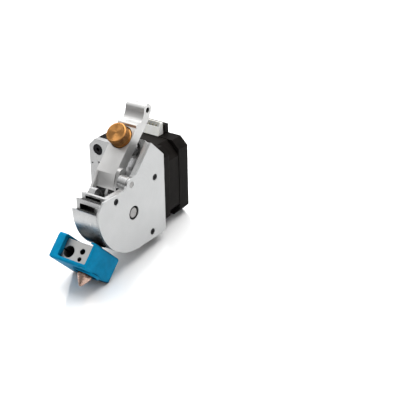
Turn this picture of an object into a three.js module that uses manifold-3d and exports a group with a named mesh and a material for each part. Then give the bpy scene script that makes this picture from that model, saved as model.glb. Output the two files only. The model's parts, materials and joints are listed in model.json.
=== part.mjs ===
// Direct-drive filament extruder: a pancake stepper motor drives a bevel gear pair,
// a hobbed drive gear and a sprung idler gear push the filament into the hot end.
// Millimetres. The motor's axis runs along Y, the drive shaft along X. The filament
// path leans 45 degrees to the motor's axis.
//
// Two nested frames are used:
//   motor frame  origin at the centre of the motor's front face, -Y forward, +Z up
//   path frame   the motor frame turned 45 degrees about X, so that -Z points along
//                the filament towards the nozzle and -Y towards the lever's front

import * as THREE from 'three';
import * as BufferGeometryUtils from 'three/addons/utils/BufferGeometryUtils.js';
import Module from 'manifold-3d';

const wasm = await Module();
wasm.setup();

// ---------------------------------------------------------------- driving dimensions

const gap = 0.15;                   // clearance between pieces that touch
const bevelRatio = 3;               // drive shaft turns once for three motor turns
const pathAngle = -Math.PI / 4;     // path frame against motor frame

const motor = {
  half: 21.15, chamfer: 4.15, frontCap: 8.9, stack: 8.3, rearCap: 7.5,
  stackChamfer: 7.2, boltHalf: 15.5, shaftRadius: 2.5, shaftOut: 19, pilotRadius: 11,
};
const flange = { thickness: 3, chamfer: 4 };
const driveShaft = { y: -25.05, z: 0, radius: 2.5, from: 0.5, to: 24.3 };
const cover = { inner: 23.6, outer: 24.65, bottom: -20.6, rimRadius: 29.5, rimY: -22, frontN: 43.6,
  topZ: 14.55, armN: 29.2, armU: -15.5 };
const nose = { left: 8.56, right: 23.45, cavityLeft: 11.5, cavityRight: 21.2, armLeft: 21.3 };
const path = { x: 16.5, n: 21.7 };                    // filament axis in the path frame
const breakScrewU = 31;                               // screw that holds the heat break
const pivot = { u: 7.4, n: 29.3, radius: 1.5, hub: 3.7 };
const lever = { left: 4.5, right: 16, cheek: 17.8, back: 27.1, front: 33 };
const eye = { n: 31.1, u: -30.4, radius: 3.05, bore: 1.4 };
const knob = { x: 9.8, u: -13, face: 38.7, radius: 5.5 };
const gearPitch = 4;                                  // drive gear and idler pitch radius
const block = { left: 4, right: 20.6, top: 41.9, bottom: 52.2, front: 29.6, back: 11 };
const sock = { left: -0.6, right: 22.6, top: 40.4, bottom: 53.8, front: 32.6, back: 9 };
const nozzle = { hexTop: 52.9, coneTop: 56.1, tip: 61 };
const bearing = { outer: 4, inner: 2.65, width: 2.5, coverFrom: 21.4 };

// ---------------------------------------------------------------- materials

const finish = (color, roughness, metalness) =>
  new THREE.MeshStandardMaterial({ color, roughness, metalness });

const aluminium = finish(0xd4d6d8, 0.35, 0.9);
const blackPaint = finish(0x1b1a19, 0.5, 0.1);
const laminations = finish(0x242322, 0.55, 0.3);
const steel = finish(0xb9bcc0, 0.3, 1);
const blackSteel = finish(0x1a1a1c, 0.4, 0.8);
const brass = finish(0xb8813a, 0.3, 1);
const copperAlloy = finish(0xc98f6a, 0.35, 1);
const silicone = finish(0x0a87b8, 0.7, 0);
const whitePlastic = finish(0xe6e6e2, 0.5, 0);
const magnet = finish(0x5a5a5c, 0.45, 0.8);

// ---------------------------------------------------------------- solids and booleans

function toSolid(geometry) {
  geometry.deleteAttribute('normal');
  geometry.deleteAttribute('uv');
  const merged = BufferGeometryUtils.mergeVertices(geometry, 1e-4);
  return new wasm.Manifold(new wasm.Mesh({
    numProp: 3,
    vertProperties: merged.attributes.position.array,
    triVerts: new Uint32Array(merged.index.array),
  }));
}

function toGeometry(solid) {
  const mesh = solid.getMesh();
  const geometry = new THREE.BufferGeometry();
  geometry.setAttribute('position', new THREE.BufferAttribute(new Float32Array(mesh.vertProperties), 3));
  geometry.setIndex(new THREE.BufferAttribute(new Uint32Array(mesh.triVerts), 1));
  geometry.computeVertexNormals();
  return geometry;
}

const join = (first, ...rest) => rest.reduce((sum, next) => sum.add(next), first);
const cut = (first, ...rest) => rest.reduce((left, next) => left.subtract(next), first);

// Turns a solid's geometry from the path frame into the motor frame.
const fromPath = (geometry) => geometry.rotateX(pathAngle);

// A box given by its lowest and highest corners.
function box(x0, x1, y0, y1, z0, z1) {
  const geometry = new THREE.BoxGeometry(x1 - x0, y1 - y0, z1 - z0);
  return geometry.translate((x0 + x1) / 2, (y0 + y1) / 2, (z0 + z1) / 2);
}

// A box in the path frame, given along x, n (towards the lever's front) and u (towards the nozzle).
const pathBox = (x0, x1, n0, n1, u0, u1) => box(x0, x1, -n1, -n0, -u1, -u0);

// A disc, rod or cone along X, Y or Z, from one place on its axis to another.
function rod(axis, radius, from, to, a, b, sides = 20, endRadius = radius) {
  const geometry = new THREE.CylinderGeometry(endRadius, radius, to - from, sides);
  const middle = (from + to) / 2;
  if (axis === 'x') return geometry.rotateZ(-Math.PI / 2).translate(middle, a, b);
  if (axis === 'y') return geometry.translate(a, middle, b);
  return geometry.rotateX(Math.PI / 2).translate(a, b, middle);
}

// The same along n or u in the path frame, at (x, u) or (x, n).
const rodAlongN = (radius, n0, n1, x, u, sides, endRadius) =>
  rod('y', endRadius ?? radius, -n1, -n0, x, -u, sides, radius);
const rodAlongU = (radius, u0, u1, x, n, sides, endRadius) =>
  rod('z', endRadius ?? radius, -u1, -u0, x, -n, sides, radius);

// A profile drawn in the Y-Z plane and extruded along X.
function prismX(shape, x0, x1, curveSegments = 14) {
  const geometry = new THREE.ExtrudeGeometry(shape, {
    depth: x1 - x0, bevelEnabled: false, curveSegments,
  });
  const turn = new THREE.Matrix4().makeBasis(
    new THREE.Vector3(0, 1, 0), new THREE.Vector3(0, 0, 1), new THREE.Vector3(1, 0, 0));
  return geometry.applyMatrix4(turn).translate(x0, 0, 0);
}

// A profile drawn in the X-Z plane and extruded along Y.
function prismY(shape, y0, y1) {
  const geometry = new THREE.ExtrudeGeometry(shape, { depth: y1 - y0, bevelEnabled: false });
  return geometry.rotateX(Math.PI / 2).translate(0, y1, 0);
}

const polygon = (points) => new THREE.Shape(points.map(([a, b]) => new THREE.Vector2(a, b)));

// A square with its four corners cut off.
function chamferedSquare(half, chamfer) {
  const inner = half - chamfer;
  return polygon([[-inner, -half], [inner, -half], [half, -inner], [half, inner],
    [inner, half], [-inner, half], [-half, inner], [-half, -inner]]);
}

// Place in the motor frame's Y-Z plane of a point given by n and u.
const placeNU = (n, u) => [-(u + n) * Math.SQRT1_2, (n - u) * Math.SQRT1_2];

// A ring or stepped turned piece: [radius, place] pairs around its section, about Y.
function turned(section, sides = 20) {
  const points = [...section, section[0]].map(([r, y]) => new THREE.Vector2(r, y));
  return new THREE.LatheGeometry(points, sides);
}

// ---------------------------------------------------------------- assembly

const assembly = new THREE.Group();
const motorFrame = new THREE.Group();
const pathFrame = new THREE.Group();
pathFrame.rotation.x = pathAngle;
motorFrame.add(pathFrame);
assembly.add(motorFrame);

function place(frame, name, material, shape) {
  const geometry = shape instanceof THREE.BufferGeometry ? shape : toGeometry(shape);
  const mesh = new THREE.Mesh(geometry, material);
  mesh.name = name;
  frame.add(mesh);
  return mesh;
}

const boltPlaces = [[-1, 1], [-1, -1], [1, 1], [1, -1]]
  .map(([sx, sz]) => [sx * motor.boltHalf, sz * motor.boltHalf]);

const stackStart = motor.frontCap;
const rearStart = motor.frontCap + motor.stack;
const motorEnd = rearStart + motor.rearCap;

// ---------------------------------------------------------------- stepper motor

function motorFrontCap() {
  const outline = chamferedSquare(motor.half, motor.chamfer);
  const pilot = rod('y', motor.pilotRadius, -1.5, 1, 0, 0, 24);
  const pieces = join(toSolid(prismY(outline, 0, stackStart - gap)), toSolid(pilot));
  const cuts = [
    rod('y', 13.2, 3, stackStart + 1, 0, 0, 24),
    rod('y', 5.75, -2, 3.5, 0, 0),
  ];
  for (const [x, z] of boltPlaces) cuts.push(rod('y', 1.75, -1, stackStart + 1, x, z, 10));
  return cut(pieces, ...cuts.map(toSolid));
}

function motorStator() {
  const outline = chamferedSquare(motor.half - 0.2, motor.stackChamfer);
  const stack = toSolid(prismY(outline, stackStart, rearStart - gap));
  const cuts = [rod('y', 12.9, stackStart - 1, rearStart + 1, 0, 0, 24)];
  for (const [x, z] of boltPlaces) cuts.push(rod('y', 1.75, stackStart - 1, rearStart + 1, x, z, 10));
  return cut(stack, ...cuts.map(toSolid));
}

function motorRearCap() {
  const outline = chamferedSquare(motor.half, motor.chamfer);
  const cap = toSolid(prismY(outline, rearStart, motorEnd));
  const lip = toSolid(box(-9, 9.2, rearStart + 4.3, motorEnd, motor.half - 1, motor.half + 4.9));
  const cuts = [
    rod('y', 13.2, rearStart - 1, motorEnd - 4.2, 0, 0, 24),
    rod('y', 5.75, rearStart, motorEnd - 1.2, 0, 0),
    rod('y', 3.2, rearStart, motorEnd + 1, 0, 0),
  ];
  for (const [x, z] of boltPlaces) {
    cuts.push(rod('y', 1.75, rearStart - 1, motorEnd + 1, x, z, 10));
    cuts.push(rod('y', 3.1, motorEnd - 2.2, motorEnd + 1, x, z, 20));
  }
  return cut(join(cap, lip), ...cuts.map(toSolid));
}

function motorBolt(x, z) {
  const shank = toSolid(rod('y', 1.45, 5, motorEnd - 1, x, z, 10));
  const head = toSolid(rod('y', 2.75, motorEnd - 2, motorEnd - 0.2, x, z, 20));
  const slot = toSolid(box(x - 2, x + 2, motorEnd - 1, motorEnd + 1, z - 0.35, z + 0.35));
  return cut(join(shank, head), slot);
}

function motorBearing(from) {
  return turned([[2.65, from], [5.6, from], [5.6, from + 3], [2.65, from + 3]]);
}

function connectorHousing() {
  const base = rearStart - 0.3;
  const foot = motor.half + gap;
  const rear = base + 4.2;
  const outline = polygon([[base, foot], [rear, foot], [rear, foot + 6.2], [base + 2.9, foot + 6.2]]);
  const body = toSolid(prismX(outline, -8.2, 8.4));
  const socket = toSolid(box(-7.2, 7.4, base + 2.0, base + 3.5, foot + 1.6, foot + 8));
  return cut(body, socket);
}

function connectorPin(index) {
  const x = -5 + index * 2 + 0.1;
  const y = rearStart + 2.45;
  return box(x - 0.25, x + 0.25, y - 0.25, y + 0.25, motor.half + gap + 1.75, motor.half + 5.2);
}

place(motorFrame, 'motor_front_cap', blackPaint, motorFrontCap());
place(motorFrame, 'motor_stator', laminations, motorStator());
place(motorFrame, 'motor_rear_cap', blackPaint, motorRearCap());
place(motorFrame, 'motor_rotor', magnet, turned(
  [[2.65, stackStart - 1], [12.6, stackStart - 1], [12.6, rearStart + 1], [2.65, rearStart + 1]], 24));
place(motorFrame, 'motor_shaft', steel,
  rod('y', motor.shaftRadius, -motor.shaftOut, motorEnd - 1.4, 0, 0, 24));
place(motorFrame, 'motor_front_bearing', steel, motorBearing(0.2));
place(motorFrame, 'motor_rear_bearing', steel, motorBearing(motorEnd - 4.35));
boltPlaces.forEach(([x, z], index) =>
  place(motorFrame, `motor_bolt_${index + 1}`, blackSteel, motorBolt(x, z)));
place(motorFrame, 'connector_housing', whitePlastic, connectorHousing());
for (let index = 0; index < 6; index += 1) {
  place(motorFrame, `connector_pin_${index + 1}`, brass, connectorPin(index));
}

// ---------------------------------------------------------------- body and side cover

const rimZ = cover.bottom + cover.rimRadius;
const coverScrews = [[-38, 11.2], [-10.9, -16.6], [-7.7, 12.3]];

// The rim that the cover and the nose share: flat underneath, then one large arc.
function traceRim(shape, rearY, endDegrees) {
  const endAngle = THREE.MathUtils.degToRad(endDegrees - 360);
  shape.moveTo(rearY, cover.bottom);
  shape.lineTo(cover.rimY, cover.bottom);
  shape.absarc(cover.rimY, rimZ, cover.rimRadius, -Math.PI / 2, endAngle, true);
}

function coverOutline() {
  const shape = new THREE.Shape();
  const [pivotY, pivotZ] = placeNU(pivot.n, pivot.u);
  traceRim(shape, -0.8, 177.6);
  shape.lineTo(cover.topZ - cover.frontN * Math.SQRT2, cover.topZ);
  shape.lineTo(pivotY - 5.2, cover.topZ);
  shape.absarc(pivotY, pivotZ, 3.6, Math.PI * 0.96, Math.PI * 0.56, true);
  const armPlaces = [[cover.armN, 2.4], [cover.armN, cover.armU + 0.6],
    [cover.armN - 0.6, cover.armU], [15.6, cover.armU]];
  for (const [n, u] of armPlaces) shape.lineTo(...placeNU(n, u));
  shape.lineTo(0, cover.bottom + 0.8);
  return shape;
}

function sideCover() {
  const plate = toSolid(prismX(coverOutline(), cover.inner, cover.outer, 16));
  const boss = toSolid(rod('x', 5.2, bearing.coverFrom, cover.inner + 0.1, driveShaft.y, driveShaft.z, 32));
  const bearingEnd = bearing.coverFrom + bearing.width + gap;
  const cuts = [
    rod('x', 3.6, 20, 26, driveShaft.y, driveShaft.z, 32),
    rod('x', bearing.outer + gap, 20, bearingEnd, driveShaft.y, driveShaft.z, 32),
    rod('x', pivot.radius + gap, 20, 26, ...placeNU(pivot.n, pivot.u), 20),
  ];
  for (const [y, z] of coverScrews) {
    cuts.push(rod('x', 0.95, 20, 26, y, z, 14));
    cuts.push(rod('x', 1.75, cover.outer - 0.7, 26, y, z, 20));
  }
  return cut(join(plate, boss), ...cuts.map(toSolid));
}

function coverScrew(y, z) {
  const head = toSolid(rod('x', 1.55, cover.outer - 0.6, cover.outer - 0.1, y, z, 20));
  const shank = toSolid(rod('x', 0.75, nose.right - 2.1, cover.outer - 0.5, y, z, 10));
  const socket = toSolid(rod('x', 0.7, cover.outer - 0.45, cover.outer, y, z, 6));
  return cut(join(head, shank), socket);
}

// Saw-tooth front of the nose: two upright faces, each under an overhanging step.
function noseOutline() {
  const shape = new THREE.Shape();
  traceRim(shape, -1, 180);
  const steps = [[-52, 9.6], [-48.1, 7.7], [-48.1, 13.5], [-44, 11.4], [-44, cover.topZ]];
  for (const [y, z] of steps) shape.lineTo(y, z);
  shape.lineTo(-1, cover.topZ);
  return shape;
}

function mainBody() {
  const pivotPlace = placeNU(pivot.n, pivot.u);
  const slotFloor = 17;
  const bearingStart = nose.cavityLeft - bearing.width - gap;
  const plate = toSolid(prismY(chamferedSquare(motor.half, flange.chamfer), -flange.thickness, -gap));
  const noseBlock = toSolid(prismX(noseOutline(), nose.left, nose.right, 16));
  const seat = toSolid(prismX(polygon([[-1, 9], [-1, 21.4], [1.4, 21.4], [1.4, 24.2], [-1.7, 27.3],
    [-9, 20], [-3, 9]]), knob.x - 5.2, knob.x + 5.2));
  const wallBack = [placeNU(pivot.n, pivot.u - 3.6), placeNU(pivot.n, pivot.u + 3.6), placeNU(19, 16),
    [-1, 0], [-1, 21.5]];
  const lowWall = polygon([placeNU(15.8, cover.armU + 0.3), placeNU(slotFloor, cover.armU + 0.3),
    placeNU(slotFloor, 3), ...wallBack]);
  const armWall = polygon([placeNU(15.8, cover.armU + 0.3), placeNU(cover.armN - 0.1, cover.armU + 0.3),
    placeNU(cover.armN - 0.1, 2.6), ...wallBack]);
  const wall = join(toSolid(prismX(lowWall, 18.3, nose.armLeft + 0.1)),
    toSolid(prismX(armWall, nose.armLeft, nose.right)));
  const boss = toSolid(rod('x', pivot.hub, 18.3, nose.right, ...pivotPlace, 28));

  const leverRoom = fromPath(pathBox(nose.left - 1, lever.cheek + 0.4, 25.4, 60, -60, 15.6));
  const gearRoom = rod('x', 5.4, nose.cavityLeft, 24, driveShaft.y, driveShaft.z, 28);
  const idlerRoom = fromPath(pathBox(nose.cavityLeft, nose.cavityRight, 19.6, 33.4, 11.6, 23.4));
  const mouthRoom = fromPath(pathBox(nose.cavityLeft + 1.1, nose.cavityRight, 25.4, 46, 11.6, 19.8));
  const topRoom = fromPath(pathBox(nose.left - 1, nose.cavityRight, 37.3, 46, 11.6, 19.8));
  const slotRoom = fromPath(pathBox(lever.cheek, nose.armLeft, slotFloor, 60, -60, 3));
  const upperRoom = fromPath(pathBox(nose.left - 1, 18.2, 10, 60, -60, 12.6));
  const rooms = [leverRoom, idlerRoom, mouthRoom, topRoom, slotRoom, upperRoom];
  const shell = join(cut(noseBlock, ...rooms.map(toSolid)), plate, seat, wall, boss);

  const cuts = [
    gearRoom,
    rod('y', motor.pilotRadius + gap, -1.8, 1, 0, 0, 24),
    rod('y', 6.6, -5, 1, 0, 0, 28),
    rod('x', pivot.radius + gap, 12, 24, ...pivotPlace, 20),
    rod('x', 3.2, 5, 13, driveShaft.y, driveShaft.z, 24),
    rod('x', bearing.outer + gap, bearingStart, 13, driveShaft.y, driveShaft.z, 32),
    fromPath(rodAlongN(4.1, 16.8, 24, knob.x, knob.u + 0.5, 20)),
    fromPath(rodAlongU(3.65, 20, 42, path.x, path.n, 28)),
    rod('x', 1.75, 6, 14, ...placeNU(path.n, breakScrewU), 16),
    rod('y', 0.5, -4, -2, -19.5, 7.2, 10),
    rod('y', 0.5, -4, -2, -15.2, 8.4, 10),
    box(10.8, 20.3, -47.9, -41.5, 11.9, 13.5),
    box(10.6, 19.7, -50.5, -44.6, 7.8, 11),
  ];
  for (const [y, z] of coverScrews) cuts.push(rod('x', 0.95, nose.right - 2.25, 24, y, z, 14));
  for (const [x, z] of boltPlaces.slice(0, 3)) {
    cuts.push(rod('y', 1.75, -6, 1, x, z, 10));
    cuts.push(rod('y', 3.1, -9, -1.1, x, z, 18));
  }
  return cut(shell, ...cuts.map(toSolid));
}

function flangeScrew(x, z) {
  const head = toSolid(rod('y', 2.8, -2.8, -1.25, x, z, 18));
  const shank = toSolid(rod('y', 1.4, -1.4, 3.6, x, z, 10));
  const socket = toSolid(rod('y', 1.15, -3.5, -2, x, z, 6));
  return cut(join(head, shank), socket);
}

place(motorFrame, 'main_body', aluminium, mainBody());
place(motorFrame, 'side_cover', aluminium, sideCover());
coverScrews.forEach(([y, z], index) =>
  place(motorFrame, `cover_screw_${index + 1}`, blackSteel, coverScrew(y, z)));
boltPlaces.slice(0, 3).forEach(([x, z], index) =>
  place(motorFrame, `flange_screw_${index + 1}`, blackSteel, flangeScrew(x, z)));

// ---------------------------------------------------------------- bevel gear pair

const bevel = { module: 8 / 9, pinionTeeth: 9, face: 3.6, addendum: 0.6, dedendum: 1.0 };
const gearTeeth = bevel.pinionTeeth * bevelRatio;
const pinionRadius = bevel.module * bevel.pinionTeeth / 2;
const gearRadius = bevel.module * gearTeeth / 2;
const coneLength = Math.hypot(pinionRadius, gearRadius);

// A bevel gear about +Y with the cones' common tip at the origin. The rows run round
// its section: bore, hub, back, toothed outer edge, toothed inner edge, bore.
function bevelGear(teeth, pitchRadius, bore, hubRadius, hubEnd, firstTooth) {
  const cone = Math.asin(pitchRadius / coneLength);
  const tipCone = cone + Math.atan(bevel.addendum / coneLength);
  const rootCone = cone - Math.atan(bevel.dedendum / coneLength);
  const pitch = 2 * Math.PI / teeth;
  const steps = [[-0.32, false], [-0.1, true], [0.1, true], [0.32, false]];
  const rimY = coneLength * Math.cos(rootCone);
  const rimRadius = coneLength * Math.sin(rootCone);
  const innerLength = coneLength - bevel.face;
  const frontY = innerLength * Math.cos(tipCone);
  const backY = rimY + 0.9;

  const positions = [];
  const rows = [];
  const addRow = (pointAt) => {
    const row = [];
    for (let tooth = 0; tooth < teeth; tooth += 1) {
      for (const [offset, isTip] of steps) {
        const angle = firstTooth + (tooth + offset) * pitch;
        const [radius, y] = pointAt(isTip);
        row.push(positions.length / 3);
        positions.push(radius * Math.cos(angle), y, radius * Math.sin(angle));
      }
    }
    rows.push(row);
  };
  const onCone = (length) => (isTip) => {
    const angle = isTip ? tipCone : rootCone;
    return [length * Math.sin(angle), length * Math.cos(angle)];
  };
  addRow(() => [bore, hubEnd]);
  addRow(() => [hubRadius, hubEnd]);
  addRow(() => [hubRadius, backY]);
  addRow(() => [rimRadius - 0.2, backY]);
  addRow(onCone(coneLength));
  addRow(onCone(innerLength));
  addRow(() => [bore, frontY + 0.25]);

  const indices = [];
  rows.forEach((row, r) => {
    const next = rows[(r + 1) % rows.length];
    row.forEach((a, k) => {
      const b = row[(k + 1) % row.length];
      indices.push(a, b, next[k], b, next[(k + 1) % row.length], next[k]);
    });
  });
  const geometry = new THREE.BufferGeometry();
  geometry.setAttribute('position', new THREE.BufferAttribute(new Float32Array(positions), 3));
  geometry.setIndex(indices);
  geometry.computeVertexNormals();
  return geometry;
}

function bevelPinion() {
  const geometry = bevelGear(bevel.pinionTeeth, pinionRadius, motor.shaftRadius + gap, 4.6, 20.6,
    Math.PI / bevel.pinionTeeth);
  return geometry.translate(0, driveShaft.y, 0);
}

function bevelWheel() {
  const geometry = bevelGear(gearTeeth, gearRadius, driveShaft.radius + gap, 4.4, 7.9, 0);
  const turn = new THREE.Matrix4().makeBasis(
    new THREE.Vector3(0, 1, 0), new THREE.Vector3(1, 0, 0), new THREE.Vector3(0, 0, -1));
  return geometry.applyMatrix4(turn).translate(0, driveShaft.y, driveShaft.z);
}

place(motorFrame, 'bevel_pinion', steel, bevelPinion());
place(motorFrame, 'bevel_gear', steel, bevelWheel());
place(motorFrame, 'drive_shaft', steel,
  rod('x', driveShaft.radius, driveShaft.from, driveShaft.to, driveShaft.y, driveShaft.z, 24));

// ---------------------------------------------------------------- drive gear and idler

// Spur teeth beside a hobbed groove, about +Y, that grip the filament.
function hobbedGear(teeth, bore, hubLength, firstTooth) {
  const tip = gearPitch + 0.32;
  const root = gearPitch - 0.62;
  const pitch = 2 * Math.PI / teeth;
  const outline = [];
  for (let tooth = 0; tooth < teeth; tooth += 1) {
    for (const [offset, radius] of [[-0.3, root], [-0.09, tip], [0.09, tip], [0.3, root]]) {
      const angle = firstTooth + (tooth + offset) * pitch;
      outline.push([radius * Math.cos(angle), radius * Math.sin(angle)]);
    }
  }
  const teethSolid = toSolid(prismY(polygon(outline), 0, 1.6));
  const sleeve = toSolid(turned([[bore, 0.1], [3.2, 0.1], [3.2, 1.6], [3.75, 1.75], [3.75, 2.3], [3.1, 2.9],
    [3.75, 3.5], [3.75, 4.8], [3.2, 4.8 + hubLength], [bore, 4.8 + hubLength]]));
  const hole = toSolid(rod('y', bore, -1, 9, 0, 0, 28));
  return toGeometry(cut(join(teethSolid, sleeve), hole));
}

const gearStart = path.x - 2.9;
const turnToX = (geometry) => geometry.rotateZ(-Math.PI / 2);

place(motorFrame, 'drive_gear', steel, turnToX(hobbedGear(16, driveShaft.radius + gap, 1.4, 0))
  .translate(gearStart, driveShaft.y, driveShaft.z));

const driveU = -(driveShaft.y + driveShaft.z) * Math.SQRT1_2;
const driveN = driveU;
const idlerN = driveN + 2 * gearPitch;

place(pathFrame, 'idler_gear', steel, turnToX(hobbedGear(16, 1.5 + gap, 0.01, Math.PI / 16))
  .translate(gearStart, -idlerN, -driveU));
place(pathFrame, 'idler_pin', steel, rod('x', 1.5, 12.15, 19.4, -idlerN, -driveU, 20));

function shaftBearing(from) {
  const ring = turned([[bearing.inner, 0], [bearing.outer, 0], [bearing.outer, bearing.width],
    [bearing.inner, bearing.width]]);
  return turnToX(ring).translate(from, driveShaft.y, driveShaft.z);
}

place(motorFrame, 'shaft_bearing_inner', steel, shaftBearing(nose.cavityLeft - bearing.width));
place(motorFrame, 'shaft_bearing_cover', steel, shaftBearing(bearing.coverFrom));

// ---------------------------------------------------------------- tension lever

// Side profile of the lever in the path frame, drawn in y = -n and z = -u: a wedge foot,
// a flat back, an eye at the top, and a scooped front with a lip for the thumb.
function leverProfile() {
  const { back, front } = lever;
  const shape = new THREE.Shape();
  shape.moveTo(-front, -6);
  for (const [n, u] of [[29.8, 12], [29.7, 13], [29, 11.6], [back, 9.2], [back, -27.6]]) {
    shape.lineTo(-n, -u);
  }
  shape.absarc(-eye.n, -eye.u, eye.radius, THREE.MathUtils.degToRad(-10), THREE.MathUtils.degToRad(200));
  shape.quadraticCurveTo(-32.1, 27.2, -31.75, 24.8);
  shape.quadraticCurveTo(-31.7, 22.3, -33.9, 21.3);
  shape.lineTo(-34.2, 20.2);
  shape.lineTo(-33.2, 19.2);
  return shape;
}

function tensionLever() {
  const { back, front } = lever;
  const cheekN = (back + front) / 2;
  const blade = toSolid(prismX(leverProfile(), lever.left, lever.right));
  const armPlaces = [[pivot.n - 2.4, pivot.u], [pivot.n + 2.4, pivot.u],
    [idlerN + 2.6, driveU - 1.5], [idlerN + 1.6, driveU + 2.4],
    [idlerN - 1.6, driveU + 2.4], [idlerN - 2.6, driveU - 1.5]];
  const armShape = polygon(armPlaces.map(([n, u]) => [-n, -u]));
  const arm = toSolid(prismX(armShape, 11.9, 13.3));
  const edgeRib = polygon([[front, 5], [32, 15], [30.6, 15.2], [back + 1, 9]].map(([n, u]) => [-n, -u]));
  const rib = toSolid(prismX(edgeRib, lever.left, lever.left + 1.4));
  const cheekShape = new THREE.Shape();
  cheekShape.moveTo(-front, -6);
  cheekShape.absarc(-cheekN, -4, front - cheekN, Math.PI, 0, true);
  for (const [n, u] of [[back, 9.2], [29, 11.6], [29.7, 13], [29.8, 12]]) cheekShape.lineTo(-n, -u);
  const cheek = toSolid(prismX(cheekShape, lever.right - 0.1, lever.cheek));
  const cuts = [
    rod('x', eye.bore, 3, 18, -eye.n, -eye.u, 20),
    rod('x', pivot.radius + gap, 3, 19, -pivot.n, -pivot.u, 20),
    rod('x', 1.5 + gap, 11, 14, -idlerN, -driveU, 20),
    rodAlongN(knob.radius + 0.5, 30.2, 40, knob.x, knob.u, 36),
    rodAlongN(2.15, 20, 40, knob.x, knob.u, 20),
  ];
  return cut(join(blade, arm, rib, cheek), ...cuts.map(toSolid));
}

function thumbKnob() {
  return turned([[0, -knob.face], [knob.radius - 0.5, -knob.face], [knob.radius, -knob.face + 0.5],
    [knob.radius, -34.2], [4.6, -33.9], [4.6, -33.1], [knob.radius, -32.8], [knob.radius, -31.3],
    [2, -30.5], [2, -26.2], [1.3, -25.9], [1.3, -22.6], [0, -22.6]], 24);
}

function springWasher() {
  return turned([[1.5, -25.1], [3, -25.1], [3, -24.4], [1.5, -24.4]], 16);
}

// A compression spring: a round wire swept along a helix about Y, ends cut square by
// half a turn of closed coil.
class Helix extends THREE.Curve {
  constructor(radius, length, turns) {
    super();
    Object.assign(this, { radius, length, turns });
  }

  getPoint(t, target = new THREE.Vector3()) {
    const angle = t * this.turns * 2 * Math.PI;
    return target.set(this.radius * Math.cos(angle), this.length * t, this.radius * Math.sin(angle));
  }
}

function tensionSpring() {
  const wire = new THREE.Shape().absarc(0, 0, 0.4, 0, 2 * Math.PI);
  const geometry = new THREE.ExtrudeGeometry(wire, {
    steps: 54, curveSegments: 3, bevelEnabled: false, extrudePath: new Helix(2.3, 3.4, 4),
  });
  return geometry.translate(knob.x, -23.8, -knob.u);
}

const alongStud = (geometry) => geometry.translate(knob.x, 0, -knob.u);

place(pathFrame, 'tension_lever', aluminium, tensionLever());
place(pathFrame, 'pivot_pin', steel,
  rod('x', pivot.radius, lever.left + 0.6, cover.outer - 0.1, -pivot.n, -pivot.u, 24));
place(pathFrame, 'thumb_knob', brass, alongStud(thumbKnob()));
place(pathFrame, 'spring_washer', steel, alongStud(springWasher()));
place(pathFrame, 'tension_spring', steel, tensionSpring());

// ---------------------------------------------------------------- hot end

function heatBreak() {
  const section = [[1, 23.6], [3.5, 23.6], [3.5, 38.9], [1.9, 39.3], [1.9, 42.2], [2.85, 42.4], [2.85, 47],
    [1, 47]];
  const geometry = turned(section.map(([r, u]) => [r, -u]).reverse(), 24);
  return geometry.rotateX(Math.PI / 2).translate(path.x, -path.n, 0);
}

function heaterBlock() {
  const body = toSolid(pathBox(block.left, block.right, block.back, block.front, block.top, block.bottom));
  const cuts = [
    rodAlongN(3.05, 0, 40, 7.8, 48, 32),
    pathBox(0, 6, 19, 40, 47.1, 47.9),
    rodAlongU(1.4, 40, 46, 7.8, 20, 16),
    rodAlongN(1.5, 25.2, 40, 15.2, 46, 20),
    rodAlongN(1.2, 25.2, 40, 15.3, 50, 16),
    rodAlongU(3.05, 30, 60, path.x, path.n, 24),
  ];
  return cut(body, ...cuts.map(toSolid));
}

function siliconeSock() {
  const frontNotch = polygon([[4.5, -40.3], [13.5, -42.4], [19.6, -42.4], [19.6, -38], [4.5, -38]]);
  const outer = toSolid(pathBox(sock.left, sock.right, sock.back, sock.front, sock.top, sock.bottom));
  const cuts = [
    pathBox(block.left - 1.6, block.right + gap, block.back - gap, block.front + gap,
      block.top - gap, block.bottom + gap),
    pathBox(4.4, 21.5, 25, 40, 41.3, 51.9),
    prismY(frontNotch, -40, -20),
    rodAlongU(5.8, 50, 60, path.x, path.n, 24),
    rodAlongU(4, 35, 45, path.x, path.n, 24),
  ];
  return cut(outer, ...cuts.map(toSolid));
}

function nozzleSolid() {
  const thread = rodAlongU(2.85, 47.2, nozzle.hexTop + 0.2, path.x, path.n, 24);
  const hex = rodAlongU(4.15, nozzle.hexTop, nozzle.coneTop, path.x, path.n, 6);
  const cone = rodAlongU(3.7, nozzle.coneTop - 0.1, nozzle.tip, path.x, path.n, 24, 0.5);
  const bore = rodAlongU(1, 40, 58.5, path.x, path.n, 12);
  const orifice = rodAlongU(0.25, 58, 62, path.x, path.n, 8);
  return cut(join(...[thread, hex, cone].map(toSolid)), toSolid(bore), toSolid(orifice));
}

place(pathFrame, 'heat_break', steel, heatBreak());
place(pathFrame, 'heater_block', aluminium, heaterBlock());
place(pathFrame, 'silicone_sock', silicone, siliconeSock());
place(pathFrame, 'nozzle', copperAlloy, nozzleSolid());
place(pathFrame, 'clamp_screw', blackSteel, rodAlongU(1.25, 42.2, 44.7, 7.8, 20, 14));
place(pathFrame, 'thermistor_screw', blackSteel, rodAlongN(1, 25.6, 28.2, 15.3, 50, 14));
place(motorFrame, 'heat_break_screw', blackSteel,
  rod('x', 1.5, nose.left + 0.2, 12.75, ...placeNU(path.n, breakScrewU), 14));

// ---------------------------------------------------------------- standing position

// The assembly stands on the sock's lower rear edge and the motor's lower rear edge.
const [sockY, sockZ] = placeNU(sock.back, sock.bottom);
const lean = Math.atan2(-motor.half - sockZ, motorEnd - sockY);
motorFrame.rotation.x = -lean;
assembly.updateMatrixWorld(true);
const bounds = new THREE.Box3().setFromObject(assembly, true);
const middle = bounds.getCenter(new THREE.Vector3());
motorFrame.position.set(-middle.x, -middle.y, -bounds.min.z);

export default assembly;
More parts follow.
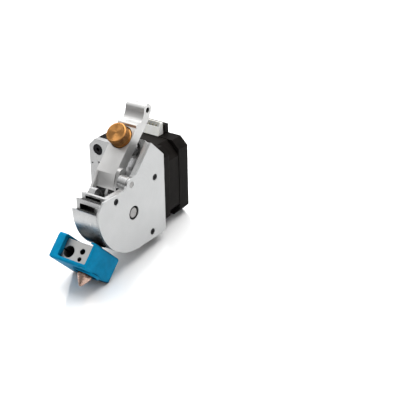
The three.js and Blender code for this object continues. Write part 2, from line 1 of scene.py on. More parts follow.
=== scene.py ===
"""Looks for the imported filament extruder: materials, fine shapes, floor, light and camera.

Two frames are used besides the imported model's own, both worked out from its joints:
  motor frame  origin at the centre of the motor's front face, +Y to the motor's rear
  path frame   same origin, -Y out of the lever's front, -Z along the filament to the nozzle
Sizes in the piece functions are millimetres.
"""

import json
import math

import bmesh
import bpy
from mathutils import Matrix, Vector

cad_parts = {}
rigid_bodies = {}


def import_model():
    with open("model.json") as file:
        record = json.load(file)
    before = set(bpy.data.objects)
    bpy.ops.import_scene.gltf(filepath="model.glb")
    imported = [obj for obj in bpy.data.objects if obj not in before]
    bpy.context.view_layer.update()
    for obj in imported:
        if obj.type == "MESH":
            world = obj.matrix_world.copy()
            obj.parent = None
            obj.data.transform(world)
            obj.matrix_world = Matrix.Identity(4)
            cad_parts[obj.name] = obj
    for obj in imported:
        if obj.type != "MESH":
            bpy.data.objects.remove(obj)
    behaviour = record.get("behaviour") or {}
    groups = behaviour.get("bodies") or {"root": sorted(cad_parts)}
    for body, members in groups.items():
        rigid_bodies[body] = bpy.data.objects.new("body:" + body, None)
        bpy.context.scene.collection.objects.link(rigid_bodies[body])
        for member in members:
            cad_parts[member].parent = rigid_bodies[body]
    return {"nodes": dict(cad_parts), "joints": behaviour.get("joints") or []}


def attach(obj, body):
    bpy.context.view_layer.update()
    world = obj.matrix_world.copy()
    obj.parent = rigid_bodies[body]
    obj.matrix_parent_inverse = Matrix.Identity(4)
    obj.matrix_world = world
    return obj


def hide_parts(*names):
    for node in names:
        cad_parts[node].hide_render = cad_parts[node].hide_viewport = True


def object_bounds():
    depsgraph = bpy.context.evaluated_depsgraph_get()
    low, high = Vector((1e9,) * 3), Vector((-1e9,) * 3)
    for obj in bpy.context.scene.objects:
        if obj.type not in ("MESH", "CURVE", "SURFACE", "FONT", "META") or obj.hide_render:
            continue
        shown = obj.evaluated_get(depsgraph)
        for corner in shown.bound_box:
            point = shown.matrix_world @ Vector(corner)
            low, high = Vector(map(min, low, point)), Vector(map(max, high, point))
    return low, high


MM = 0.001
ROUND = 2 * math.pi

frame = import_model()
cad_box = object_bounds()
joints = {joint["name"]: joint for joint in frame["joints"]}


# ------------------------------------------------------------------ frames

def axes_matrix(origin, x_axis, y_axis):
    """A frame with the given origin and the given first two axes."""
    matrix = Matrix((x_axis, y_axis, x_axis.cross(y_axis))).transposed().to_4x4()
    matrix.translation = origin
    return matrix


X_AXIS = Vector((1, 0, 0))
motor_axis = Vector(joints["motor_spin"]["axis"])
motor_origin = Vector(joints["motor_spin"]["pos_m"])
lever_out = Vector(joints["knob_turn"]["axis"])
motor_frame = axes_matrix(motor_origin, X_AXIS, motor_axis)
path_frame = axes_matrix(motor_origin, X_AXIS, -lever_out)
motor_lean = math.atan2(motor_axis.z, motor_axis.y)
path_lean = math.atan2(-lever_out.z, -lever_out.y)


def about_y(base, x, z):
    """A frame in base whose +Z lies along base's -Y, with its origin at (x, 0, z) mm."""
    shift = Matrix.Translation((x * MM, 0, z * MM))
    return base @ shift @ Matrix.Rotation(math.pi / 2, 4, "X")


def about_down(base, x, y):
    """A frame in base whose +Z lies along base's -Z, with its origin at (x, y, 0) mm."""
    shift = Matrix.Translation((x * MM, y * MM, 0))
    return base @ shift @ Matrix.Rotation(math.pi, 4, "X")


# ------------------------------------------------------------------ node trees

# Sockets of a colour Mix node, which has several of the same name.
MIX_FACTOR = 0
MIX_FIRST = 6
MIX_SECOND = 7
MIX_RESULT = 2


class Tree:
    """Short calls that build one material's node tree around a Principled shader."""

    def __init__(self, name, color, metallic, roughness, edge=0.2):
        self.material = bpy.data.materials.new(name)
        self.material.use_nodes = True
        self.nodes = self.material.node_tree.nodes
        self.shader = self.nodes["Principled BSDF"]
        self.set_value("Base Color", (*color, 1))
        self.set_value("Metallic", metallic)
        self.set_value("Roughness", roughness)
        self.rounded = self.add("ShaderNodeBevel", {"Radius": edge * MM}, samples=6).outputs[0]

    def set_value(self, socket, value):
        self.shader.inputs[socket].default_value = value

    def link(self, source, target):
        self.material.node_tree.links.new(source, target)

    def add(self, kind, inputs=(), **settings):
        """A new node. An input is a value, or another node's output to link to it."""
        node = self.nodes.new(kind)
        for name, value in settings.items():
            setattr(node, name, value)
        for socket, value in dict(inputs).items():
            if isinstance(value, bpy.types.NodeSocket):
                self.link(value, node.inputs[socket])
            else:
                node.inputs[socket].default_value = value
        return node

    def coordinates(self, stretch=(1, 1, 1), lean=0.0):
        """Object coordinates in millimetres, turned about X by lean and stretched."""
        place = self.add("ShaderNodeTexCoord").outputs["Object"]
        upright = self.add("ShaderNodeMapping", {
            "Vector": place, "Rotation": (-lean, 0, 0), "Scale": (1 / MM,) * 3}).outputs[0]
        if tuple(stretch) == (1, 1, 1):
            return upright
        return self.add("ShaderNodeMapping", {"Vector": upright, "Scale": stretch}).outputs[0]

    def noise(self, vector, scale, detail=3.0, rough=0.55):
        return self.add("ShaderNodeTexNoise", {
            "Vector": vector, "Scale": scale, "Detail": detail, "Roughness": rough}).outputs["Fac"]

    def ramp(self, factor, low, high, bottom=0.0, top=1.0):
        """Factor from low..high mapped to bottom..top, and held outside."""
        return self.add("ShaderNodeMapRange", {
            "Value": factor, "From Min": low, "From Max": high, "To Min": bottom, "To Max": top},
            clamp=True).outputs[0]

    def mix(self, factor, first, second):
        """First where the factor is 0 and second where it is 1, each a colour or an output."""
        node = self.add("ShaderNodeMix", data_type="RGBA", clamp_factor=True)
        self.link(factor, node.inputs[MIX_FACTOR])
        for index, value in ((MIX_FIRST, first), (MIX_SECOND, second)):
            if isinstance(value, bpy.types.NodeSocket):
                self.link(value, node.inputs[index])
            else:
                node.inputs[index].default_value = (*value, 1)
        return node.outputs[MIX_RESULT]

    def math(self, operation, first, second=0.0):
        return self.add("ShaderNodeMath", {0: first, 1: second}, operation=operation).outputs[0]

    def edges(self, low=0.02, high=0.2):
        """1 along edges, where paint wears and metal is polished."""
        flat = self.add("ShaderNodeNewGeometry").outputs["Normal"]
        agreement = self.add("ShaderNodeVectorMath", {0: flat, 1: self.rounded},
                             operation="DOT_PRODUCT").outputs["Value"]
        return self.ramp(self.math("SUBTRACT", 1.0, agreement), low, high)

    def painted_recess_shade(self, reach, low=0.15, high=0.75):
        """1 deep in corners, holes and gaps, where shade is painted in as a dark colour, and 0 in the
        open.
        """
        openness = self.add("ShaderNodeAmbientOcclusion", {"Distance": reach * MM},
                            samples=8).outputs["AO"]
        return self.ramp(openness, low, high, 1.0, 0.0)

    def bump(self, height, strength, distance=0.05):
        """Relief from height, on top of the rounded edges."""
        return self.add("ShaderNodeBump", {
            "Height": height, "Strength": strength, "Distance": distance * MM,
            "Normal": self.rounded}).outputs[0]

    def to_shader(self, socket, source):
        self.link(source, self.shader.inputs[socket])


def shade(color, factor):
    """A colour made lighter or darker."""
    return tuple(min(1.0, c * factor) for c in color)


# ------------------------------------------------------------------ materials

# The near-black colour painted into hollows and gaps as shade.
PAINTED_SHADE = (0.016, 0.013, 0.011)


def machined_aluminium(name, color, roughness, stretch, lean, grain=0.35, reach=7.0, metallic=1.0):
    """Milled faces: fine cutter lines one way, faint patches, polished edges, and shade painted dark into
    hollows and gaps.
    """
    tree = Tree(name, color, metallic, roughness)
    upright = tree.coordinates(lean=lean)
    lines = tree.noise(tree.coordinates(stretch, lean), 1.0, 4.0, 0.65)
    patches = tree.noise(upright, 0.12, 2.0)
    scratches = tree.noise(tree.coordinates((0.9, 7.0, 0.5), lean + 0.6), 1.0, 5.0, 0.75)
    toned = tree.mix(tree.ramp(patches, 0.35, 0.7), shade(color, 0.9), color)
    lined = tree.mix(tree.ramp(lines, 0.3, 0.75, 0, 0.4), toned, shade(color, 0.88))
    polished = tree.mix(tree.edges(), lined, shade(color, 1.15))
    # Painted shade: hollows and gaps darkened towards the near-black shade colour.
    recess_shade = tree.math("MULTIPLY", tree.painted_recess_shade(reach, 0.14, 0.5), 0.95)
    tree.to_shader("Base Color", tree.mix(recess_shade, polished, PAINTED_SHADE))
    rough = tree.ramp(lines, 0.3, 0.7, roughness - 0.07, roughness + 0.1)
    marks = tree.ramp(scratches, 0.62, 0.72, 0, 0.12)
    tree.to_shader("Roughness", tree.math("ADD", rough, marks))
    tree.to_shader("Normal", tree.bump(lines, grain, 0.03))
    return tree.material


def faced_aluminium(name, color, roughness, centre):
    """A flat face turned about a (y, z) centre in the motor frame, with faint arcs from the tool."""
    tree = Tree(name, color, 1.0, roughness)
    upright = tree.coordinates(lean=motor_lean)
    start = motor_frame.to_3x3().inverted() @ motor_origin / MM
    middle = start + Vector((0, *centre))
    offset = tree.add("ShaderNodeVectorMath", {0: upright, 1: middle}, operation="SUBTRACT").outputs[0]
    flat = tree.add("ShaderNodeVectorMath", {0: offset, 1: (0, 1, 1)}, operation="MULTIPLY").outputs[0]
    radius = tree.add("ShaderNodeVectorMath", {0: flat}, operation="LENGTH").outputs["Value"]
    wander = tree.math("MULTIPLY", tree.noise(upright, 0.25, 2.0), 1.5)
    arcs = tree.math("SINE", tree.math("MULTIPLY", tree.math("ADD", radius, wander), 7.0))
    rings = tree.noise(tree.add("ShaderNodeCombineXYZ", {0: radius}).outputs[0], 2.2, 4.0, 0.7)
    patches = tree.noise(upright, 0.1, 2.0)
    scratches = tree.noise(tree.coordinates((1.0, 0.5, 6.0), motor_lean + 0.5), 1.0, 5.0, 0.75)
    toned = tree.mix(tree.ramp(patches, 0.35, 0.7), shade(color, 0.93), color)
    lined = tree.mix(tree.ramp(rings, 0.35, 0.7, 0, 0.7), toned, shade(color, 0.84))
    tree.to_shader("Base Color", tree.mix(tree.edges(), lined, shade(color, 1.2)))
    rough = tree.ramp(rings, 0.3, 0.7, roughness - 0.05, roughness + 0.08)
    marks = tree.ramp(scratches, 0.62, 0.72, 0, 0.1)
    tree.to_shader("Roughness", tree.math("ADD", rough, marks))
    height = tree.math("ADD", tree.math("MULTIPLY", arcs, 0.25), rings)
    tree.to_shader("Normal", tree.bump(height, 0.3, 0.03))
    return tree.material


def coated_metal(name, color, roughness, speckle=1.4, wear=0.3):
    """Cast or stamped metal under a satin black coat, with fine orange peel and worn edges."""
    tree = Tree(name, color, 0.0, roughness, 0.3)
    place = tree.coordinates()
    grain = tree.noise(place, speckle, 6.0, 0.7)
    clouds = tree.noise(place, 0.15, 2.0)
    base = tree.mix(tree.ramp(clouds, 0.35, 0.7), shade(color, 0.75), shade(color, 1.25))
    worn = tree.math("MULTIPLY", tree.edges(0.05, 0.3), wear)
    tree.to_shader("Base Color", tree.mix(worn, base, shade(color, 5)))
    tree.to_shader("Roughness", tree.ramp(grain, 0.3, 0.7, roughness - 0.08, roughness + 0.12))
    tree.to_shader("Normal", tree.bump(grain, 0.45, 0.06))
    tree.set_value("Specular IOR Level", 0.03)
    return tree.material


def turned_metal(name, color, roughness, grain=0.3):
    """Metal turned about the piece's own Z: fine rings that draw the light into spokes."""
    tree = Tree(name, color, 1.0, roughness)
    place = tree.coordinates()
    flat = tree.add("ShaderNodeVectorMath", {0: place, 1: (1, 1, 0)}, operation="MULTIPLY").outputs[0]
    radius = tree.add("ShaderNodeVectorMath", {0: flat}, operation="LENGTH").outputs["Value"]
    rings = tree.noise(tree.add("ShaderNodeCombineXYZ", {0: radius}).outputs[0], 7.0, 3.0, 0.7)
    tarnish = tree.noise(place, 0.5, 4.0)
    toned = tree.mix(tree.ramp(tarnish, 0.35, 0.7, 0, 0.35), color, shade(color, 0.8))
    ringed = tree.mix(tree.ramp(rings, 0.35, 0.7, 0, 0.5), toned, shade(color, 0.78))
    polished = tree.mix(tree.edges(), ringed, shade(color, 1.3))
    # Painted shade: the hollows between knurls and in grooves darkened.
    dark = tree.painted_recess_shade(0.8, 0.2, 0.8)
    tree.to_shader("Base Color", tree.mix(dark, polished, shade(color, 0.35)))
    tree.to_shader("Roughness", tree.ramp(rings, 0.3, 0.7, roughness - 0.05, roughness + 0.1))
    tree.to_shader("Normal", tree.bump(rings, grain, 0.02))
    tree.set_value("Anisotropic", 0.9)
    tangent = tree.add("ShaderNodeTangent", direction_type="RADIAL", axis="Z").outputs[0]
    tree.to_shader("Tangent", tangent)
    return tree.material


def plain_steel(name, color, roughness):
    """Ground or rolled steel with fine grain and small stains."""
    tree = Tree(name, color, 1.0, roughness)
    place = tree.coordinates()
    grain = tree.noise(place, 3.0, 5.0, 0.7)
    stains = tree.noise(place, 0.4, 3.0)
    base = tree.mix(tree.ramp(stains, 0.4, 0.7), shade(color, 0.75), color)
    polished = tree.mix(tree.edges(), base, shade(color, 1.25))
    # Painted shade: hollows and gaps darkened towards the near-black shade colour.
    tree.to_shader("Base Color", tree.mix(tree.painted_recess_shade(6.0), polished, PAINTED_SHADE))
    tree.to_shader("Roughness", tree.ramp(grain, 0.3, 0.7, roughness - 0.08, roughness + 0.1))
    tree.to_shader("Normal", tree.bump(grain, 0.2, 0.03))
    return tree.material


def moulded_silicone(name, color):
    """Soft matt silicone: mottled, dusty on its edges, with a faint mould grain, and shade painted dark
    navy into its hollows.
    """
    tree = Tree(name, color, 0.0, 0.55)
    place = tree.coordinates()
    mottle = tree.noise(place, 0.22, 3.0)
    grain = tree.noise(place, 2.5, 6.0, 0.7)
    base = tree.mix(tree.ramp(mottle, 0.35, 0.7), shade(color, 0.85), shade(color, 1.12))
    dusty = tree.math("MULTIPLY", tree.edges(0.03, 0.3), 0.2)
    worn = tree.mix(dusty, base, (0.03, 0.42, 0.62))
    # Painted shade: hollows, such as the walls inside the window, darkened to dark navy.
    tree.to_shader("Base Color", tree.mix(tree.painted_recess_shade(5.0, 0.35, 0.8), worn, (0.0, 0.012, 0.035)))
    tree.to_shader("Roughness", tree.ramp(grain, 0.3, 0.7, 0.45, 0.68))
    tree.to_shader("Normal", tree.bump(grain, 0.3, 0.05))
    tree.set_value("Specular IOR Level", 0.06)
    return tree.material


def natural_plastic(name, color):
    """Unpigmented moulded nylon: milky, slightly see-through, with flow marks."""
    tree = Tree(name, color, 0.0, 0.4)
    place = tree.coordinates((1, 0.4, 1))
    flow = tree.noise(place, 0.5, 3.0)
    grain = tree.noise(place, 3.0, 5.0)
    tree.to_shader("Base Color", tree.mix(tree.ramp(flow, 0.35, 0.7), shade(color, 0.93), color))
    tree.to_shader("Roughness", tree.ramp(grain, 0.3, 0.7, 0.32, 0.5))
    tree.to_shader("Normal", tree.bump(grain, 0.15, 0.04))
    tree.set_value("Subsurface Weight", 0.5)
    tree.set_value("Subsurface Radius", (1.5 * MM, 1.4 * MM, 1.2 * MM))
    return tree.material


def heated_metal(name, color, tint, roughness):
    """Turned metal that heat has tinted in bands along the filament path."""
    tree = Tree(name, color, 1.0, roughness)
    place = tree.coordinates(lean=path_lean)
    height = tree.add("ShaderNodeSeparateXYZ", {0: place}).outputs["Z"]
    bands = tree.math("SINE", tree.math("MULTIPLY", height, 0.9))
    clouds = tree.noise(place, 0.8, 4.0)
    mixed = tree.math("MULTIPLY", tree.ramp(bands, -1, 1, 0.15, 1), clouds)
    tinted = tree.mix(mixed, color, tint)
    # Painted shade: hollows and gaps, such as next to the sock, darkened towards the near-black shade
    # colour.
    tree.to_shader("Base Color", tree.mix(tree.painted_recess_shade(4.0, 0.35, 0.85), tinted, PAINTED_SHADE))
    rings = tree.noise(tree.coordinates((0.3, 0.3, 9), path_lean), 1.0, 3.0)
    tree.to_shader("Roughness", tree.ramp(clouds, 0.3, 0.7, roughness - 0.06, roughness + 0.12))
    tree.to_shader("Normal", tree.bump(rings, 0.35, 0.03))
    return tree.material


# Where the tool's arcs on the side cover have their centre: y and z in the motor frame, in mm.
COVER_CENTRE = (-22, 8.9)

materials = {
    # The body's painted shade reaches 12 mm, so the gap behind the lever is painted dark.
    "body": machined_aluminium("body_aluminium", (0.53, 0.533, 0.533), 0.3, stretch=(5, 0.3, 0.3),
                               lean=motor_lean, grain=0.2, reach=12.0),
    "cover": faced_aluminium("cover_aluminium", (0.5, 0.506, 0.507), 0.36, COVER_CENTRE),
    "lever": machined_aluminium("lever_aluminium", (0.62, 0.618, 0.61), 0.38, stretch=(8, 6, 0.3),
                                lean=path_lean, metallic=0.75),
    "block": machined_aluminium("block_aluminium", (0.56, 0.56, 0.55), 0.4, stretch=(5, 5, 0.5),
                                lean=path_lean, grain=0.5),
    "cap": coated_metal("motor_black", (0.0085, 0.0075, 0.007), 0.42),
    "laminations": coated_metal("laminations_black", (0.009, 0.0078, 0.007), 0.38, speckle=2.0, wear=0.2),
    "black_steel": plain_steel("black_oxide_steel", (0.018, 0.018, 0.02), 0.38),
    "steel": plain_steel("ground_steel", (0.55, 0.55, 0.57), 0.26),
    "pin": plain_steel("pin_steel", (0.36, 0.355, 0.35), 0.36),
    "gear": plain_steel("gear_steel", (0.5, 0.5, 0.51), 0.3),
    "rotor": plain_steel("rotor_iron", (0.16, 0.155, 0.15), 0.45),
    "contacts": plain_steel("tinned_contacts", (0.75, 0.68, 0.5), 0.3),
    "shield": coated_metal("bearing_shield", (0.02, 0.02, 0.021), 0.35, speckle=2.0, wear=0.1),
    "brass": turned_metal("knob_brass", (0.43, 0.205, 0.065), 0.3),
    "silicone": moulded_silicone("blue_silicone", (0.0, 0.22, 0.42)),
    "plastic": natural_plastic("natural_nylon", (0.82, 0.82, 0.79)),
    "nozzle": heated_metal("nozzle_metal", (0.6, 0.42, 0.34), (0.3, 0.16, 0.12), 0.25),
    "heat_break": heated_metal("heat_break_metal", (0.2, 0.18, 0.17), (0.1, 0.06, 0.05), 0.26),
}


# ------------------------------------------------------------------ mesh code

def mesh_of_rings(name, rings, wrap=False):
    """Skin through rings of equally many points. Wrapped, the last ring meets the first."""
    mesh = bmesh.new()
    rows = [[mesh.verts.new(Vector(point) * MM) for point in ring] for ring in rings]
    pairs = list(zip(rows, rows[1:]))
    if wrap:
        pairs.append((rows[-1], rows[0]))
    for low, high in pairs:
        for index in range(len(low)):
            after = (index + 1) % len(low)
            mesh.faces.new((low[index], low[after], high[after], high[index]))
    if not wrap:
        mesh.faces.new(reversed(rows[0]))
        mesh.faces.new(rows[-1])
    bmesh.ops.recalc_face_normals(mesh, faces=mesh.faces)
    data = bpy.data.meshes.new(name)
    mesh.to_mesh(data)
    mesh.free()
    return data


def circle(radius, z, sides):
    """A ring of points about Z. Radius is a number or a function of the angle."""
    points = []
    for index in range(sides):
        angle = ROUND * index / sides
        r = radius(angle) if callable(radius) else radius
        points.append((r * math.cos(angle), r * math.sin(angle), z))
    return points


def turned(name, section, sides=64, wrap=False):
    """A turned mesh from (radius, z) rows. Wrapped, the section is a closed loop with a bore."""
    return mesh_of_rings(name, [circle(radius, z, sides) for radius, z in section], wrap)


def grooves(start, pitch, count, shape):
    """Section rows for a thread or for grooves: the (radius, z) rows of one, repeated along Z."""
    return [(radius, start + pitch * index + z) for index in range(count) for radius, z in shape]


def smooth_shading(data, degrees):
    for polygon in data.polygons:
        polygon.use_smooth = True
    data.set_sharp_from_angle(angle=math.radians(degrees))


def add_piece(name, data, matrix, body, material, replaced=(), crease=34):
    """Puts a finished mesh in the scene and ties it to its CAD body."""
    smooth_shading(data, crease)
    piece = bpy.data.objects.new(name, data)
    bpy.context.scene.collection.objects.link(piece)
    data.materials.append(material)
    piece.matrix_world = matrix
    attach(piece, body)
    if replaced:
        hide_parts(*replaced)
    return piece


# How CAD nodes are shaded: corners closer than WELD_GAP mm become one, edges sharper than
# CRISP_ANGLE degrees stay crisp, and FACE_WEIGHT (1 to 100, 50 is even) favours large faces.
WELD_GAP = 0.002
CRISP_ANGLE = 28
FACE_WEIGHT = 90


def smooth_node(thing):
    """Shades a CAD node's curved walls smooth and keeps its edges crisp."""
    for polygon in thing.data.polygons:
        polygon.use_smooth = True
    weld = thing.modifiers.new("weld", "WELD")
    weld.merge_threshold = WELD_GAP * MM
    split = thing.modifiers.new("split", "EDGE_SPLIT")
    split.split_angle = math.radians(CRISP_ANGLE)
    normals = thing.modifiers.new("normals", "WEIGHTED_NORMAL")
    normals.weight = FACE_WEIGHT


def paint(node, material):
    """Gives a CAD node its material and smooth walls."""
    thing = frame["nodes"][node]
    thing.data.materials.clear()
    thing.data.materials.append(materials[material])
    smooth_node(thing)


# ------------------------------------------------------------------ CAD nodes that stay

def numbered(stem, count):
    return [f"{stem}_{index + 1}" for index in range(count)]


kept_nodes = [
    # nodes, material, record slot
    (["main_body"], "body", "machined_aluminium"),
    (["side_cover"], "cover", "machined_aluminium"),
    (["tension_lever"], "lever", "machined_aluminium"),
    (["heater_block"], "block", "block_aluminium"),
    (["motor_front_cap", "motor_rear_cap"], "cap", "black_cap"),
    (["motor_stator"], "laminations", "laminations"),
    (["motor_rotor"], "rotor", "rotor_iron"),
    (["motor_shaft", "idler_pin"], "steel", "shaft_steel"),
    (["drive_shaft", "pivot_pin"], "pin", "shaft_steel"),
    (["motor_front_bearing", "motor_rear_bearing"], "steel", "bearing_steel"),
    (["shaft_bearing_inner", "shaft_bearing_cover"], "shield", "bearing_steel"),
    (["bevel_pinion", "bevel_gear", "drive_gear", "idler_gear"], "gear", "gear_steel"),
    (numbered("motor_bolt", 4) + numbered("flange_screw", 3), "black_steel", "black_steel"),
    (numbered("cover_screw", 3), "black_steel", "black_steel"),
    (["heat_break_screw", "clamp_screw", "thermistor_screw"], "black_steel", "black_steel"),
    (["connector_housing"], "plastic", "connector_plastic"),
    (numbered("connector_pin", 6), "contacts", "contact_metal"),
    (["spring_washer"], "steel", "spring_steel"),
]

for nodes, material, slot in kept_nodes:
    for node in nodes:
        paint(node, material)


# ------------------------------------------------------------------ turned pieces and the coil

def knob_axis():
    """Where the thumb screw's axis stands in the path frame: across and along, in mm."""
    place = path_frame.inverted() @ Vector(joints["knob_turn"]["pos_m"])
    return place.x / MM, place.z / MM


def knob():
    """Thumb screw: dished face, straight knurl, groove, lower flange and threaded stud."""
    across, along = knob_axis()
    radius = 5.5
    knurls = 52
    sides_per_knurl = 4

    def knurled(depth):
        return lambda angle: radius - depth * (0.5 + 0.5 * math.cos(knurls * angle))

    # Heights are from the path frame's origin, out of the lever's front.
    near_axis = 0.05
    face = [(near_axis, 38.5), (1.2, 38.5), (4.4, 38.66), (4.9, 38.7), (5.05, 38.62)]
    head = [(knurled(0.16), 38.3), (knurled(0.3), 38.1), (knurled(0.3), 34.6), (knurled(0.16), 34.4)]
    groove = [(5.0, 34.2), (4.6, 34.05), (4.6, 33.2), (4.9, 33.05)]
    flange = [(knurled(0.1), 32.85), (knurled(0.2), 32.7), (knurled(0.2), 31.6), (knurled(0.1), 31.4),
              (5.0, 31.3), (2.1, 30.9)]
    thread = grooves(30.5, -0.7, 6, [(1.98, 0), (1.98, -0.1), (1.78, -0.35), (1.78, -0.4), (1.98, -0.65)])
    stud = [(1.9, 26.3), (1.3, 26.0), (1.3, 22.7), (1.1, 22.6), (near_axis, 22.6)]
    data = turned("knob", face + head + groove + flange + thread + stud, knurls * sides_per_knurl)
    add_piece("knob", data, about_y(path_frame, across, along), "knob", materials["brass"],
              ["thumb_knob"])


def tension_spring():
    """A four-turn coil of round wire round the stud."""
    across, along = knob_axis()
    coil_radius = 2.3
    wire_radius = 0.38
    start = -23.8
    length = 3.4
    turns = 4
    steps = turns * 32
    wire_sides = 10
    axis = Vector((0, 1, 0))
    rings = []
    for step in range(steps + 1):
        part = step / steps
        angle = ROUND * turns * part
        out = Vector((math.cos(angle), 0, math.sin(angle)))
        centre = axis * (start + length * part) + out * coil_radius
        rings.append([centre + wire_radius * (x * out + y * axis)
                      for x, y, _ in circle(1, 0, wire_sides)])
    data = mesh_of_rings("tension_spring", rings)
    place = path_frame @ Matrix.Translation((across * MM, 0, along * MM))
    add_piece("tension_spring", data, place, "knob", materials["steel"],
              ["tension_spring"])


# The filament path's place in the path frame in mm: across, and towards the lever's front.
PATH_X = 16.5
PATH_N = 21.7


def hexagon(corner, bite=0.0):
    """The radius of a hexagon with its corners taken off by bite, as a function of the angle."""
    flat = corner * math.cos(math.pi / 6)

    def radius(angle):
        from_flat = (angle % (math.pi / 3)) - math.pi / 6
        return min(flat / math.cos(from_flat), corner - bite)
    return radius


def nozzle():
    """A threaded stem, a hexagon with turned-off corners, and a cone to a flat tip with its hole."""
    corner = 4.12
    sides = 72
    # Heights here, in heat_break and in sock_rim are from the path frame's origin, down the filament.
    stem = [(0.9, 47.4), (2.7, 47.4)] + grooves(47.6, 0.75, 7, [(2.85, 0), (2.6, 0.35), (2.85, 0.7)])
    shoulder = [(2.5, 52.9), (3.3, 52.95)]
    nut = [(hexagon(corner, 0.3), 53.15), (hexagon(corner, 0.05), 53.5),
           (hexagon(corner, 0.05), 55.6), (hexagon(corner, 0.35), 55.95)]
    cone = [(3.62, 56.1), (3.6, 56.25), (0.75, 60.75), (0.5, 60.95)]
    hole = [(0.26, 60.95), (0.22, 58.4), (0.9, 57.6)]
    data = turned("nozzle", stem + shoulder + nut + cone + hole, sides, wrap=True)
    data.transform(about_down(path_frame, PATH_X, -PATH_N))
    add_piece("nozzle", data, Matrix(), "frame", materials["nozzle"], ["nozzle"],
              crease=12)


def heat_break():
    """A barrel grooved at its lower end, a thin neck, and a threaded end in the heater block."""
    bore = 1
    sides = 48
    barrel = [(bore, 23.6), (3.3, 23.6), (3.5, 23.8)]
    fins = grooves(32.0, 1.1, 6, [(3.5, 0), (3.2, 0.1), (3.2, 0.45), (3.5, 0.55)])
    neck = [(3.5, 38.7), (3.3, 38.9), (1.95, 39.2), (1.9, 39.5), (1.9, 42.1), (2.6, 42.3)]
    thread = grooves(42.5, 0.7, 6, [(2.82, 0), (2.6, 0.35)])
    end = [(2.6, 47), (bore, 47)]
    data = turned("heat_break", barrel + fins + neck + thread + end, sides, wrap=True)
    data.transform(about_down(path_frame, PATH_X, -PATH_N))
    add_piece("heat_break", data, Matrix(), "frame", materials["heat_break"],
              ["heat_break"])


# ------------------------------------------------------------------ silicone sock

def rounded_box(low, high, radius, segments=5):
    """A box between two corners in mm with every edge rounded."""
    mesh = bmesh.new()
    bmesh.ops.create_cube(mesh, size=1)
    low, high = Vector(low) * MM, Vector(high) * MM
    for vert in mesh.verts:
        vert.co = Vector(low[axis] if vert.co[axis] < 0 else high[axis] for axis in range(3))
    bmesh.ops.bevel(mesh, geom=list(mesh.edges), offset=radius * MM, segments=segments,
                    profile=0.5, affect="EDGES")
    data = bpy.data.meshes.new("box")
    mesh.to_mesh(data)
    mesh.free()
    return data


def path_box(left, right, back, front, top, bottom, radius):
    """A rounded box in the path frame: across, towards the lever's front, towards the nozzle."""
    return rounded_box((left, -front, -bottom), (right, -back, -top), radius)


def carved(name, base, cutters):
    """The base mesh with the cutter meshes taken out of it."""
    linked = bpy.context.scene.collection.objects
    thing = bpy.data.objects.new(name, base)
    linked.link(thing)
    helpers = []
    for cutter in cutters:
        helper = bpy.data.objects.new("cutter", cutter)
        linked.link(helper)
        helpers.append(helper)
        carve = thing.modifiers.new("carve", "BOOLEAN")
        carve.object = helper
        carve.operation = "DIFFERENCE"
        carve.solver = "EXACT"
    bpy.context.view_layer.update()
    graph = bpy.context.evaluated_depsgraph_get()
    result = bpy.data.meshes.new_from_object(thing.evaluated_get(graph))
    result.name = name
    for helper in helpers + [thing]:
        bpy.data.objects.remove(helper)
    return result


# The radius of the sock's hole for the nozzle, in mm.
SOCK_HOLE = 5.8


def silicone_sock():
    """A soft cap over the heater block, open at the front, with round holes for nozzle and neck."""
    shell = path_box(left=-0.6, right=22.6, back=9, front=32.6, top=40.4, bottom=53.8, radius=1.1)
    cavity = path_box(left=2.45, right=20.75, back=10.85, front=29.75, top=41.75, bottom=52.35,
                      radius=0.3)
    window = path_box(left=4.4, right=21.5, back=25, front=40, top=41.3, bottom=51.9, radius=0.6)
    notch = path_box(left=4.6, right=19.6, back=20.4, front=40, top=36, bottom=42.2, radius=0.5)
    neck_radius = 4
    nozzle_hole = turned("nozzle_hole", [(SOCK_HOLE, -60), (SOCK_HOLE, -51)], 64)
    neck_hole = turned("neck_hole", [(neck_radius, -45), (neck_radius, -35)], 48)
    for hole in (nozzle_hole, neck_hole):
        hole.transform(Matrix.Translation((PATH_X * MM, -PATH_N * MM, 0)))
    data = carved("silicone_sock", shell, [cavity, window, notch, nozzle_hole, neck_hole])
    data.transform(path_frame)
    add_piece("silicone_sock", data, Matrix(), "frame", materials["silicone"],
              ["silicone_sock"])


def sock_rim():
    """The raised rim that the sock has round its nozzle hole."""
    section = [(SOCK_HOLE, 53.5), (6.95, 53.5), (6.9, 54.5), (6.75, 54.72), (6.5, 54.8),
               (6.1, 54.8), (5.88, 54.7), (SOCK_HOLE, 54.5)]
    data = turned("sock_rim", section, 72, wrap=True)
    data.transform(about_down(path_frame, PATH_X, -PATH_N))
    add_piece("sock_rim", data, Matrix(), "frame", materials["silicone"])


knob()
tension_spring()
nozzle()
heat_break()
silicone_sock()
sock_rim()


# ------------------------------------------------------------------ stage

def build_floor():
    """A wide pale table top."""
    radius = 2500
    thickness = 0.4
    data = turned("table", [(radius, -thickness), (radius, 0)], sides=96)
    floor = bpy.data.objects.new("table", data)
    bpy.context.scene.collection.objects.link(floor)
    tree = Tree("table_white", (0.93, 0.93, 0.93), metallic=0.0, roughness=0.14)
    tree.set_value("Specular IOR Level", 0.6)
    tree.set_value("Coat Weight", 1.0)
    tree.set_value("Coat IOR", 1.8)
    tree.set_value("Coat Roughness", 0.1)
    data.materials.append(tree.material)


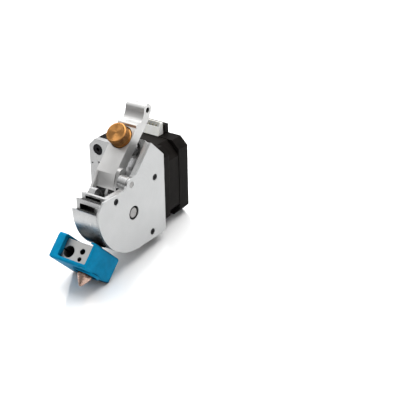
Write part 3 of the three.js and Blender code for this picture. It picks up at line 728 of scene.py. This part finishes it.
def build_light(name, place, size, power):
    """A soft white panel, placed and sized in metres and aimed at the object's middle."""
    light = bpy.data.lights.new(name, "AREA")
    light.shape = "RECTANGLE"
    light.size, light.size_y = size
    light.energy = power
    thing = bpy.data.objects.new(name, light)
    bpy.context.scene.collection.objects.link(thing)
    middle = (cad_box[0] + cad_box[1]) / 2
    thing.location = place
    thing.rotation_euler = (middle - Vector(place)).to_track_quat("-Z", "Y").to_euler()


def build_world(horizon, overhead):
    """A plain tent: dimmer round the horizon, where the tent is open, and bright overhead."""
    levels = {"From Min": 0.05, "From Max": 0.75, "To Min": horizon, "To Max": overhead}
    world = bpy.data.worlds.new("studio")
    world.use_nodes = True
    nodes, links = world.node_tree.nodes, world.node_tree.links
    direction = nodes.new("ShaderNodeTexCoord").outputs["Generated"]
    split = nodes.new("ShaderNodeSeparateXYZ")
    links.new(direction, split.inputs[0])
    rise = nodes.new("ShaderNodeMapRange")
    rise.interpolation_type = "SMOOTHSTEP"
    for socket, value in levels.items():
        rise.inputs[socket].default_value = value
    links.new(split.outputs["Z"], rise.inputs["Value"])
    links.new(rise.outputs[0], nodes["Background"].inputs["Strength"])
    nodes["Background"].inputs["Color"].default_value = (1, 1, 1, 1)
    bpy.context.scene.world = world


def build_camera():
    """A long lens from the front right and above, as far off as a table-top photograph."""
    place = Vector((0.3447, -0.35672, 0.34508))
    forward = Vector((-0.51601, 0.65059, -0.55719)).normalized()
    upward = Vector((-0.25161, 0.50666, 0.82461))
    right = forward.cross(upward).normalized()
    focal_length = 102.26
    nearest = 0.05
    data = bpy.data.cameras.new("camera")
    data.lens = focal_length
    data.clip_start = nearest
    camera = bpy.data.objects.new("camera", data)
    camera.matrix_world = axes_matrix(place, right, right.cross(forward))
    bpy.context.scene.collection.objects.link(camera)
    bpy.context.scene.camera = camera


build_floor()
build_light("overhead", (0.0, 0.4, 0.95), (1.1, 1.1), 17)
build_light("rear_left", (-0.6, 0.6, 0.5), (0.5, 0.5), 1)
build_light("left", (-0.8, -0.1, 0.55), (0.08, 0.3), 1.2)
build_light("right", (0.9, 0.1, 0.5), (0.6, 0.6), 1)
build_world(horizon=0.05, overhead=0.7)
build_camera()
bpy.context.scene.view_settings.view_transform = "Standard"
